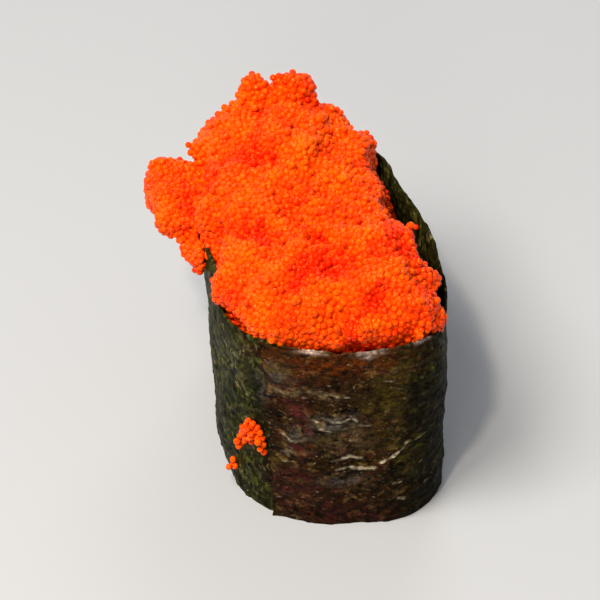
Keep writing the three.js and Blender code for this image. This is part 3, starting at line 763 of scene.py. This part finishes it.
def addEggs(name, places, shapeSteps, material, nodes, random):
    # Round eggs at the places, each a little squashed and a little different in colour at random, with
    # painted shade: deeper red the deeper their clump lies, and in the shaded places.
    shape, faceSets = ballShape(*shapeSteps)
    count = len(places)
    size = roe["size"] / 2 * (1 + roe["sizeSpread"] * random.normal(size=(count, 1)).clip(-2, 2))
    squash = 1 + roe["squash"] * random.normal(size=(count, 3)).clip(-2, 2)
    points, faces = copiesOf(shape, faceSets, places, randomTurns(count, random), size * squash)
    mean, spread, perRise = roe["toneAndShade"]
    # painted shade: eggs where a clump dips are made deeper red, eggs on humps paler
    toneAndShade = mean + spread * (random.random(count) - 0.5) + perRise * clumpRise(places)
    # painted shade: deeper red again in the shaded places
    toneAndShade = (toneAndShade + bellsAt(roe["shadedRedder"], places)[:, 0]).clip(0, 1)
    addPiece(name, points, faces, material, nodes, marks={"toneAndShade": np.repeat(toneAndShade, len(shape))})


def shareOfOutline(places):
    # How far out a place is against the rim's oblong: 1 on it, less inside.
    along = (places[:, 1] + band["skew"] * places[:, 0]) / (band["length"] / 2)
    across = places[:, 0] / (band["width"] / 2 * (1 - band["frontWidening"] * along.clip(-1.2, 1.2)))
    power = band["squareness"]
    return (np.abs(across) ** power + np.abs(along) ** power) ** (1 / power)


def roeMaterial(name, bright, deep, roughness):
    # Wet flying-fish eggs: clear orange skins over a cloudy orange inside, each a little
    # different, with painted shade as a deeper red where their mark says so, and clumps of them a
    # little deeper red.
    material, tree = newMaterial(name)
    toneAndShade = addNode(tree, "ShaderNodeAttribute", attribute_name="toneAndShade").outputs["Fac"]
    place = addNode(tree, "ShaderNodeTexCoord").outputs["Object"]
    clumps = addNode(tree, "ShaderNodeTexNoise", {
        "Vector": place, "Scale": 1 / (roe["clumpSize"] * mm), "Detail": 2.0,
    })
    redness = addNode(tree, "ShaderNodeMath", {
        0: clumps.outputs[0], 1: roe["clumpShare"], 2: toneAndShade,
    }, operation="MULTIPLY_ADD")
    low, high = roe["redness"]
    amount = addNode(tree, "ShaderNodeMapRange", {0: redness.outputs[0], 1: low, 2: high}).outputs[0]
    radius, depth = roe["glow"]
    shader = addNode(tree, "ShaderNodeBsdfPrincipled", {
        "Base Color": paintOver(tree, colour(bright), colour(deep), amount), "Roughness": roughness,
        "IOR": 1.4, "Specular IOR Level": roe["shine"], "Specular Tint": colour(roe["shineTint"]),
        "Subsurface Weight": 1.0, "Subsurface Radius": radius, "Subsurface Scale": depth * mm,
    })
    addNode(tree, "ShaderNodeOutputMaterial", {"Surface": shader.outputs[0]})
    return material


def makeHeap(facts, eggMaterial):
    # Two layers of eggs over a core, all on the heap's smoothed skin.
    random = np.random.default_rng(12)
    points, triangles = nodeSurface("roe")
    points = smoothed(points, triangles, *facts["smoothing"])
    clumped = skinNormals(points, triangles) * clumpRise(points)[:, None]
    points = points + clumped + bellsAt(facts["edges"], points)
    normals = skinNormals(points, triangles)
    addPiece("roeCore", points - facts["coreSink"] * normals, [triangles], roeMaterial(*facts["inside"]),
             ["roe"], marks={"toneAndShade": np.full(len(points), 0.5)})
    middles = points[triangles].mean(1)
    shown = triangles[(middles[:, 2] > facts["lowest"]) | (shareOfOutline(middles) > 1.0)]
    outer, outerFacing = spreadOver(points, normals, shown, facts["spacing"], facts["tries"], random)
    sink, spread = facts["sink"]
    outer = outer - outerFacing * (sink + spread * random.normal(size=(len(outer), 1)).clip(-2, 2))
    inner, innerFacing = spreadOver(points, normals, shown, facts["spacing"], facts["tries"], random)
    inner = inner - innerFacing * facts["innerSink"]
    # some lie loose on top, where the skin faces up, each away from the others
    tries, leastUp, shift = facts["loose"]
    pick = random.choice(np.flatnonzero(outerFacing[:, 2] > leastUp), tries, replace=False)
    pick = pick[keepApart(outer[pick], 2 * facts["size"], batches=8)]
    loose = outer[pick] + outerFacing[pick] * facts["size"] / 2
    outer = np.concatenate([outer, loose + random.normal(size=loose.shape) * shift])
    third = np.digitize(outer[:, 1], np.quantile(outer[:, 1], [1 / 3, 2 / 3]))
    for index, name in enumerate(("roeFront", "roeMiddle", "roeBack")):
        addEggs(name, outer[third == index], facts["outerShape"], eggMaterial, ["roe"], random)
    addEggs("roeUnderLayer", inner, facts["innerShape"], eggMaterial, ["roe"], random)


strayRoe = {
    # clusters stuck on the outside: middle as mm past the sheet's end and height, reach along and
    # up, lean in mm along for each mm up, and how many places are tried
    "clusters": [
        (-3.2, 14.9, 1.5, 2.4, 0.2, 500),
        (-5.0, 11.3, 0.7, 1.1, 0.1, 150),
        (-1.1, 13.9, 0.4, 1.9, -0.05, 200),
        (-8.2, 4.2, 0.6, 0.9, 0.2, 60),
    ],
    "storeys": [(0.4, 1.0), (1.12, 0.55)],  # how far out, and its share of the cluster's reach
    "unevenness": 0.08,
    "single": [(46.5, 31.4)],  # on the inner face
    "singleSink": 0.3,
    "spacing": 0.86,
}


def makeStrayRoe(facts, material):
    # Eggs stuck on the nori: each cluster is an oval of places kept apart, with more eggs on its middle.
    random = np.random.default_rng(3)
    places = []
    for run, height, reachRun, reachHeight, lean, tries in facts["clusters"]:
        for far, share in facts["storeys"]:
            spot = random.uniform(-1, 1, (tries, 2))
            spot = share * spot[(spot ** 2).sum(1) < 1] * [reachRun, reachHeight]
            along, up = spot[keepApart(spot, facts["spacing"], batches=30)].T
            out = band["layer"] + far + facts["unevenness"] * random.normal(size=len(up))
            level = (height + up) / band["height"]
            places.append(facePoint(run + along + lean * up, height + up, out, level))
    run, height = np.array(facts["single"]).T
    places.append(facePoint(run, height, 0 * run - facts["singleSink"], height / band["height"]))
    addEggs("strayRoe", np.concatenate(places), roe["outerShape"], material, ["nori"], random)


wetRoe = roeMaterial(*roe["skin"])
makeHeap(roe, wetRoe)
makeStrayRoe(strayRoe, wetRoe)
print("heap of roe made")


# Rice
rice = {
    "height": 21,
    "foot": 1.6,
    "gap": 0.5,  # to the band's face
    "columns": 96,
    "rings": 12,
    "grainLength": 5.6,
    "grainWidth": 2.6,
    "grainFlatness": 0.92,  # height against width
    "grainSizes": (0.9, 1.1),
    "grainSpacing": 2.5,
    "grainTries": 6000,
    "grainField": (15, 24),  # tried as far out as this, in x and y
    "grainReach": 0.81,  # kept inside this share of the band's outline
    "grainTilt": 0.12,  # radians
    "grainMiddles": (0.72, 1.22),  # of the lower and the upper ones, in half widths
    "lowerShare": 0.55,
    "grainShape": (12, 10),  # faces round a grain and along it
    "flats": (0.02, 0.12),  # each is pressed flat at its own height, as two in one plane would flicker
    "shades": ("#f3efe4", "#e6e0cf"),
    "cloud": (2, 0.35, 0.65),  # size in mm, and where its noise is palest and deepest
    "bump": (0.5, 0.25, 0.1),  # size in mm, strength, depth in mm
}


def riceMaterial(facts):
    # Cooked rice, moist and a little translucent.
    material, tree = newMaterial("cookedRice")
    place = addNode(tree, "ShaderNodeTexCoord").outputs["Object"]
    size, low, high = facts["cloud"]
    cloud = addNode(tree, "ShaderNodeTexNoise", {"Vector": place, "Scale": 1 / (size * mm), "Detail": 3.0})
    amount = addNode(tree, "ShaderNodeMapRange", {0: cloud.outputs[0], 1: low, 2: high}).outputs[0]
    bright, deep = facts["shades"]
    size, strength, depth = facts["bump"]
    fine = addNode(tree, "ShaderNodeTexNoise", {"Vector": place, "Scale": 1 / (size * mm), "Detail": 3.0})
    relief = addNode(tree, "ShaderNodeBump", {
        "Height": fine.outputs[0], "Strength": strength, "Distance": depth * mm,
    })
    shader = addNode(tree, "ShaderNodeBsdfPrincipled", {
        "Base Color": paintOver(tree, colour(bright), colour(deep), amount),
        "Roughness": 0.35, "Normal": relief.outputs[0],
        "Subsurface Weight": 0.4, "Subsurface Radius": (1.0, 0.9, 0.7), "Subsurface Scale": 1.2 * mm,
    })
    addNode(tree, "ShaderNodeOutputMaterial", {"Surface": shader.outputs[0]})
    return material


def makeRiceBlock(facts, material):
    # A block that fills the band up to the roe: rings on its face, and a fan over each end.
    columns, rings = facts["columns"], facts["rings"]
    run = perimeter * np.arange(columns)[None, :] / columns
    height = np.linspace(facts["foot"], facts["height"], rings)[:, None]
    wall = facePoint(run, height, 0 * height - facts["gap"], height / band["height"])
    points = np.concatenate([wall.reshape(-1, 3), wall[:1].mean(1), wall[-1:].mean(1)])
    ring = np.arange(columns)
    bottom = fanFaces(rings * columns, ring[::-1])
    top = fanFaces(rings * columns + 1, ring + (rings - 1) * columns)
    addPiece("riceBlock", points, [gridFaces(rings, columns), bottom, top], material, ["rice"])


def makeRiceGrains(facts, material):
    # Long rounded grains pressed flat under the block. A grain's length is first along z: it is
    # laid down, tilted a little and turned to its heading.
    random = np.random.default_rng(8)
    tries = facts["grainTries"]
    field = np.array(facts["grainField"])
    spots = np.concatenate([random.uniform(-field, field, (tries, 2)), np.zeros((tries, 1))], 1)
    spots = spots[shareOfOutline(spots) < facts["grainReach"]]
    kept = spots[keepApart(spots, facts["grainSpacing"], batches=60)]
    count = len(kept)
    least, most = facts["grainSizes"]
    half = facts["grainWidth"] / 2
    sizes = least + (most - least) * random.random((count, 1))
    sizes = sizes * [half, half * facts["grainFlatness"], facts["grainLength"] / 2]
    heading, tilt = random.uniform(0, 2 * math.pi, count), random.normal(0, facts["grainTilt"], count)
    lengthways = np.stack([np.cos(heading) * np.cos(tilt), np.sin(heading) * np.cos(tilt), np.sin(tilt)], -1)
    sideways = np.stack([-np.sin(heading), np.cos(heading), 0 * heading], -1)
    turns = np.stack([sideways, np.cross(lengthways, sideways), lengthways], -1)
    lower, upper = facts["grainMiddles"]
    kept[:, 2] = half * np.where(np.arange(count) > facts["lowerShare"] * count, upper, lower)
    shape, faceSets = ballShape(*facts["grainShape"])
    points, faces = copiesOf(shape, faceSets, kept, turns, sizes)
    flats = np.repeat(np.linspace(*facts["flats"], count), len(shape))
    points[:, 2] = np.maximum(points[:, 2], flats)
    addPiece("riceGrains", points, faces, material, ["rice"])


cookedRice = riceMaterial(rice)
makeRiceBlock(rice, cookedRice)
makeRiceGrains(rice, cookedRice)
print("rice made")
